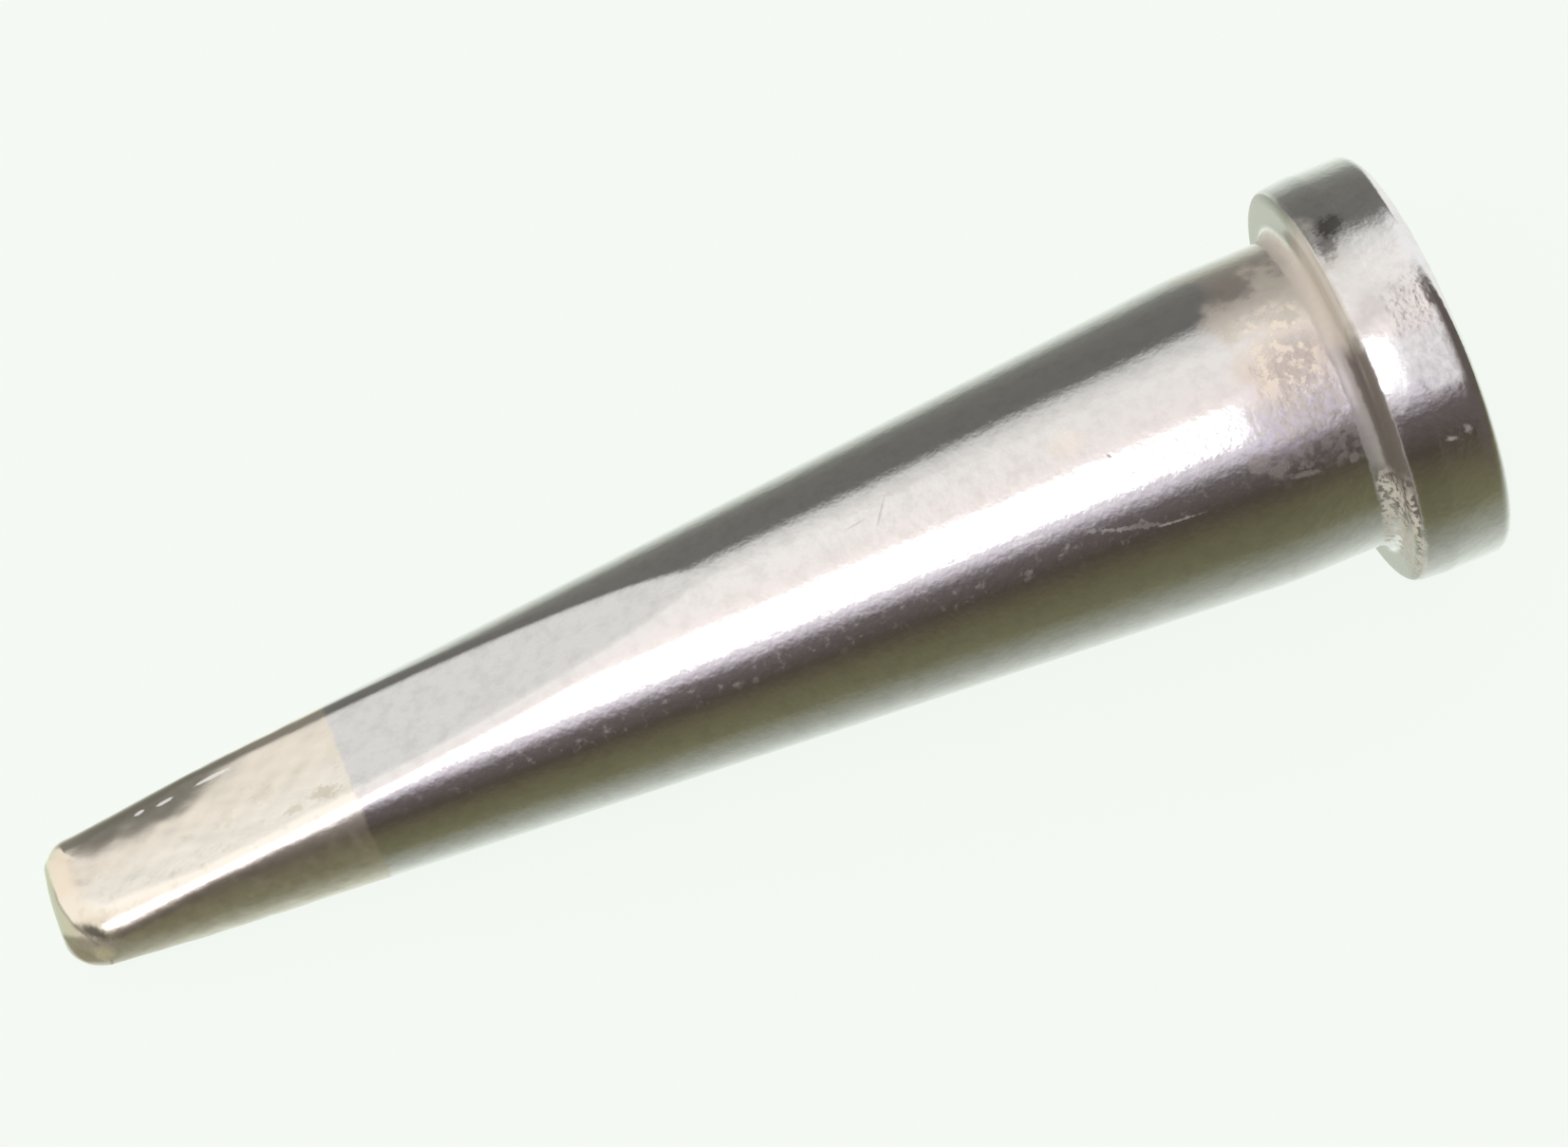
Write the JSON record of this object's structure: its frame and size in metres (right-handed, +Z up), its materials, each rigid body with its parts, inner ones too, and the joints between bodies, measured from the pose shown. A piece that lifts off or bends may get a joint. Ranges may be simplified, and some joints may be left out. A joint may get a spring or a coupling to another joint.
{
  "type": "soldering iron tip",
  "caption": "Long tapered soldering iron tip with milled flats on its rounded, tinned nose, a collar at the rear that a nut holds, and a blind bore for the heater.",
  "frame": {"origin": "bottom centre of the bounding box, on the floor that the tip lies on", "axes": "+Z up, +X from the nose towards the collar; the tip lies nose-down in the XZ plane, with its flats facing up and down"},
  "size_m": [0.0344, 0.0098, 0.01],
  "materials": {
    "plating": "bright plating, tinned at the nose, with heat stain and flux residue by the collar"
  },
  "bodies": {
    "root": {"tip_body": "plating"}
  },
  "joints": []
}
